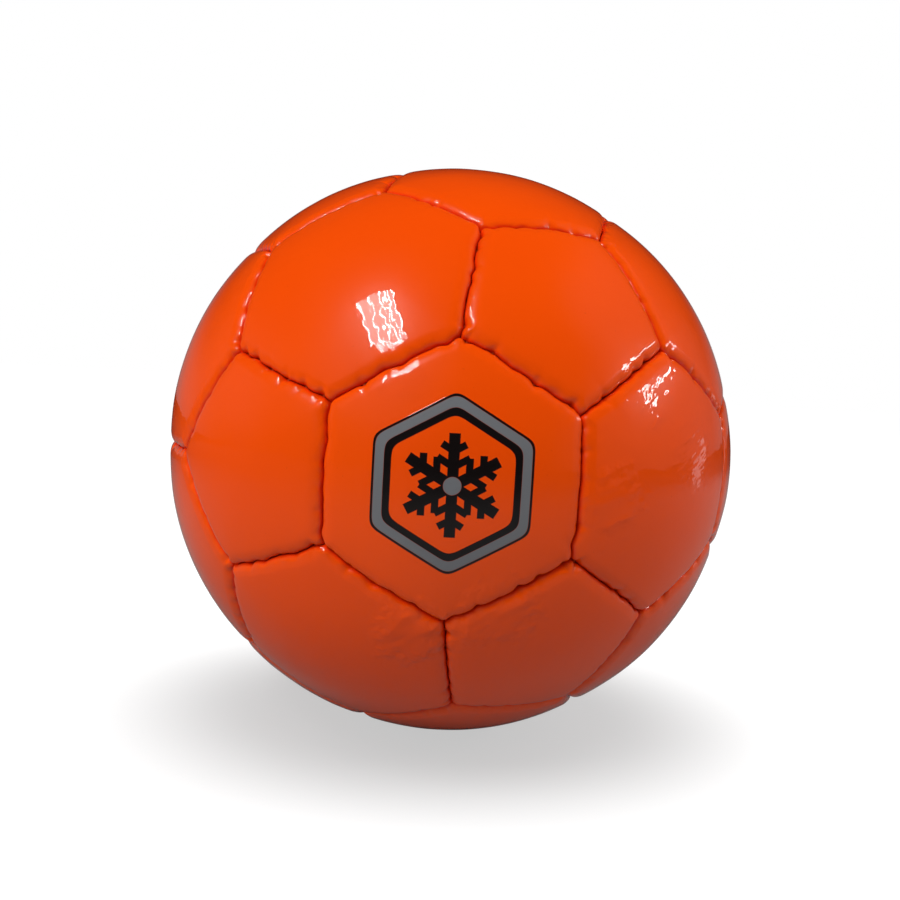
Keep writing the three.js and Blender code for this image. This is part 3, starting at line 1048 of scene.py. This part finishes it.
def buildValve():
    low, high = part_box("valve_housing")
    face, stemEnd = high.y, low.y
    clearance = valve["clearance"]
    neck, bore, outlet = valve["neckRadius"], valve["boreRadius"], valve["outletRadius"]
    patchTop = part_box("valve_patch")[1].y
    reach = math.hypot(patchTop, neck + clearance)      # the patch is a part of a ball this big
    flangeTop = reach - valve["patchThickness"] - clearance
    flangeUnder = flangeTop - valve["flangeThickness"]
    coreTop = face - valve["coreRecess"]
    boreEnd = coreTop - valve["coreLength"] - clearance
    housing = [(outlet, stemEnd), (valve["stemRadius"], stemEnd)]
    housing += dome(flangeUnder, valve["stemRadius"], valve["flangeRadius"])
    housing += dome(flangeTop, valve["flangeRadius"], neck)
    shoulder = face - valve["ringRise"]
    housing += [(neck, shoulder), (neck - valve["ringFoot"], shoulder), (neck - valve["ringTop"], face),
                (bore, face), (bore, boreEnd), (outlet, boreEnd)]
    material = buildRubberMaterial("blackRubber")
    addValvePiece("valve_housing_moulded", softened(housing, valve["housingRounding"]), material,
                  "valve_housing")

    radius = bore - valve["plugGap"]
    hole = valve["needleHoleRadius"]
    holeEnd = coreTop - valve["needleHoleDepth"]
    lipWidth, lipDepth = valve["lip"]
    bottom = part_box("valve_core")[0].y
    core = [(0, bottom), (radius, bottom), (radius, coreTop), (hole + lipWidth, coreTop),
            (hole, coreTop - lipDepth), (hole, holeEnd), (0, holeEnd - valve["needleHoleTip"])]
    addValvePiece("valve_core_plug", softened(core, valve["coreRounding"]), material, "valve_core")

    patch = dome(reach - valve["patchThickness"], neck + clearance, valve["patchRadius"])
    patch += dome(reach, valve["patchRadius"], neck + clearance)
    addValvePiece("valve_patch_cloth", softened(patch, valve["patchRounding"]), buildPatchMaterial(),
                  "valve_patch")
    print("valve ready")


def buildBladder():
    # pressed up under the linings, and dented in along the hems
    made = bladderMade
    radius = ball["radius"]
    steps = made["steps"]
    work = bmesh.new()
    share = np.linspace(0, 1, steps + 1)
    u, v = map(column, np.meshgrid(share, share, indexing="ij"))
    for middle, corners in panels:
        rear = middle.y > 0.99
        centre = np.array(middle)
        for i in range(len(corners)):
            spots = kite(centre, corners, i, u, v)
            inset = seamFacts(spots, corners)["seamInset"]
            dent = np.exp(-(np.maximum(inset, 0) / made["dentReach"]) ** 2)
            drop = made["padDrop"] + (made["hemDrop"] - made["padDrop"]) * dent
            if rear:
                # room for the valve's flange and patch, and a hole for its stem
                angle = anglesFrom(centre, spots) * radius
                under = np.clip((made["valveReach"] - angle) / made["valveEase"], 0, 1)
                drop = drop + made["valveDrop"] * under
                sideways = sidewaysFrom(centre, spots)
                length = column(np.linalg.norm(sideways, axis=1))
                sideways = np.where(length > 1e-6, sideways / np.maximum(length, 1e-6), 0)
                rim = made["holeRadius"]
                ring = np.maximum(u, v).ravel()
                opened = np.where(ring < 0.5, rim + (angle - rim) * ring / 0.5, angle)    # halfway out
                angle = np.where(ring > 0, np.maximum(opened, rim), rim) / radius
                spots = leaned(centre, sideways, angle)
            placed = [work.verts.new(tuple(spot)) for spot in spots * (radius - column(drop))]
            for j in range(steps):
                for k in range(steps):
                    if rear and max(j, k) < 1:
                        continue
                    n = j * (steps + 1) + k
                    work.faces.new((placed[n], placed[n + steps + 1], placed[n + steps + 2], placed[n + 1]))
    dropLoosePoints(work)
    bmesh.ops.remove_doubles(work, verts=work.verts, dist=0.01 * mm)
    bmesh.ops.recalc_face_normals(work, faces=work.faces)
    piece = newPiece("bladder_inflated", meshFrom(work, "bladder_inflated"))
    piece.data.materials.append(buildRubberMaterial("talcedRubber"))
    wall = piece.modifiers.new("wall", "SOLIDIFY")
    wall.thickness = made["wall"]
    wall.offset = -1
    dress(piece, "bladder")
    print("bladder:", len(piece.data.polygons), "faces")


buildValve()
buildBladder()


# Camera, floor and lights

camera = {
    "azimuth": -0.65,       # degrees, as the ball is seen
    "elevation": 5.57,
    "roll": 3.32,
    "distance": 3.35,       # ball radii, from the ball's centre
    "outline": 281 / 900,   # the ball's radius in the picture, as a share of its width
    "shift": -1 / 900,
    "sensor": 36,
}


def buildCamera():
    azimuth, elevation, roll = (math.radians(camera[key]) for key in ("azimuth", "elevation", "roll"))
    back = Vector((math.sin(azimuth) * math.cos(elevation), -math.cos(azimuth) * math.cos(elevation),
                   math.sin(elevation)))
    right = (-back).cross(Vector((0, 0, 1))).normalized()
    up = right.cross(-back)
    rolledRight = math.cos(roll) * right + math.sin(roll) * up
    rolledUp = -math.sin(roll) * right + math.cos(roll) * up
    data = bpy.data.cameras.new("camera")
    data.sensor_width = camera["sensor"]
    data.lens = camera["sensor"] * camera["outline"] * math.sqrt(camera["distance"] ** 2 - 1)
    data.shift_y = camera["shift"]
    eye = newPiece("camera", data)
    turn = Matrix((rolledRight, rolledUp, back)).transposed().to_4x4()
    eye.matrix_world = Matrix.Translation(back * camera["distance"] * ball["radius"]) @ turn
    bpy.context.scene.camera = eye


studio = {
    "floorSize": 6.0,
    "floorRoughness": 0.9,
    "shadowRadius": 0.45,   # in ball radii: within this the floor's own glow is at its lowest, a painted shadow under the ball with the real shadow on top
    "shadowFade": 1.1,      # and past this it is white
    "shadowWidth": 1.3,     # how much wider that is than it is deep
    "paintedShadowLevel": 0.54,
    "ambient": 0.08,
    "roomGlow": 0.01,       # what the gloss sees on the camera's side
    "sideGlow": 0.2,        # to the right
    "sideStart": (0.55, 1.0),   # where that comes in, as X of the way there
    "sideTop": (0.15, 0.6),     # and where it ends, as Z of it
    "backdropGlow": 0.17,   # and low down behind the ball
    "backdropStart": (-0.1, 0.9),
    "backdropTop": (0.0, 0.35),
    "floorTone": 0.33,
    "floorReflected": 0.66,             # share of that tone in reflections
    "floorBright": (0.15, 0.2, 0.0),    # painted pool of light: where it is brightest in reflections
    "floorFade": (0.3, 0.8),            # and how far from there they fade, in metres
    "floorFar": 0.2,                    # to this share
    "floorSeen": 0.325,                 # as the camera sees it, where its own glow adds to it
    "fillDistance": 1.5,
}

lamps = {    # what shows in the gloss: metres and watts, and a metre away unless it says otherwise
    "window": {"size": (0.2, 0.38), "power": 1.8, "towards": (-0.42, -0.53, 0.74), "turn": 43},
    "blinds": {"size": (0.0045, 0.38), "power": 3.2, "towards": (-0.42, -0.53, 0.74), "distance": 0.99,
               "turn": 43, "places": (-0.098, -0.04, 0.01, 0.04, 0.065, 0.096)},
    "rightLamp": {"size": (0.1, 0.15), "power": 0.75, "towards": (0.93, -0.16, 0.38)},
    "rightStrip": {"size": (0.02, 0.46), "power": 0.9, "towards": (0.92, 0.0, 0.393), "turn": -85},
    "sideLamp": {"size": (0.05, 0.13), "power": 0.02, "towards": (0.955, 0.287, -0.03), "distance": 0.6,
                 "turn": -40},
}

fills = {    # what only lights the faces: the size, the power and the way there
    "keyFill": ((1.2, 1.0), 9.6, (-0.55, -0.65, 0.52)),
    "leftFill": ((1.2, 0.6), 6.6, (-0.97, 0.17, 0.25)),
    "rightFill": ((1.2, 1.0), 16.0, (0.75, 0.13, 0.64)),
    "sideFill": ((0.8, 0.5), 0.8, (0.85, -0.5, 0.25)),
    "backFill": ((1.2, 1.0), 1.5, (-0.1, 0.85, 0.5)),
}


def addSoftbox(name, size, power, towards, distance=1.0, reflects=True, turn=0, places=(0,)):
    # places are where strips of it stand side by side, as in a blind; the power is shared between them
    direction = Vector(towards).normalized()
    aim = direction.to_track_quat("Z", "Y") @ Quaternion((0, 0, 1), math.radians(turn))
    for place in places:
        data = bpy.data.lights.new(name, "AREA")
        data.shape = "RECTANGLE"
        data.size, data.size_y = size
        data.energy = power / len(places)
        lamp = newPiece(name, data)
        lamp.location = direction * distance + aim @ Vector((place, 0, 0))
        lamp.rotation_mode = "QUATERNION"
        lamp.rotation_quaternion = aim
        lamp.visible_glossy = reflects


def buildFloor():
    size = studio["floorSize"] / 2
    radius = ball["radius"]
    mesh = bpy.data.meshes.new("floor")
    spots = [(x, y, -radius) for x, y in ((-size, -size), (size, -size), (size, size), (-size, size))]
    mesh.from_pydata(spots, [], [(0, 1, 2, 3)])
    floor = newPiece("floor", mesh)
    material, shader, place = startMaterial("paleFloor")
    shader.inputs["Roughness"].default_value = studio["floorRoughness"]
    shader.inputs["Specular IOR Level"].default_value = 0.0
    shader.inputs["Emission Color"].default_value = (1.0, 1.0, 1.0, 1.0)
    path = addNode(material.node_tree, "ShaderNodeLightPath").outputs
    tone = studio["floorTone"]
    reflected = tone * studio["floorReflected"]
    # painted pool of light: in reflections the floor's colour is lightest near the ball and fades with
    # distance, as a lamp's pool on it would
    fromBright = vectors("LENGTH", vectors("SUBTRACT", place, studio["floorBright"]))
    reflected = easedRange(fromBright, *studio["floorFade"], reflected, studio["floorFar"] * reflected)
    shade = easedRange(path["Is Glossy Ray"], 0.0, 1.0, tone, reflected)
    shade = easedRange(path["Is Camera Ray"], 0.0, 1.0, shade, tone * studio["floorSeen"])
    put(shade, shader.inputs["Base Color"])
    # painted shadow: the floor's glow as the camera sees it is lowered in a soft ellipse under the ball, and
    # the real shadow falls on top of it
    away = vectors("LENGTH", vectors("MULTIPLY", place, (1 / studio["shadowWidth"], 1.0, 0.0)))
    paintedShadowGlow = easedRange(away, studio["shadowRadius"] * radius, studio["shadowFade"] * radius,
                      studio["paintedShadowLevel"], 1.0)
    put(times(path["Is Camera Ray"], paintedShadowGlow), shader.inputs["Emission Strength"])
    mesh.materials.append(material)


def buildRoom():
    world = bpy.data.worlds.new("studio")
    bpy.context.scene.world = world
    world.use_nodes = True
    tree = world.node_tree
    tree.nodes.clear()
    path = addNode(tree, "ShaderNodeLightPath").outputs
    glossy = path["Is Glossy Ray"]
    x, y, z = partsOf(addNode(tree, "ShaderNodeTexCoord").outputs["Generated"])
    backdrop = times(easedRange(y, *studio["backdropStart"]),
                     easedRange(z, *studio["backdropTop"], 1.0, 0.0))
    glow = easedRange(backdrop, 0.0, 1.0, studio["roomGlow"], studio["backdropGlow"])
    side = times(easedRange(x, *studio["sideStart"], 0.0, studio["sideGlow"]),
                 easedRange(z, *studio["sideTop"], 1.0, 0.0))
    indirect = plus(times(glossy, larger(glow, side)), times(minus(1.0, glossy), studio["ambient"]))
    strength = larger(larger(path["Is Camera Ray"], path["Is Transmission Ray"]), indirect)
    shade = addNode(tree, "ShaderNodeBackground", [("Color", (1.0, 1.0, 1.0, 1.0)), ("Strength", strength)])
    output = addNode(tree, "ShaderNodeOutputWorld")
    put(shade.outputs[0], output.inputs["Surface"])


buildCamera()
buildFloor()
buildRoom()
for name, values in lamps.items():
    addSoftbox(name, **values)
for name, (size, power, towards) in fills.items():
    addSoftbox(name, size, power, towards, distance=studio["fillDistance"], reflects=False)
bpy.context.scene.view_settings.view_transform = "Standard"
print("studio ready")
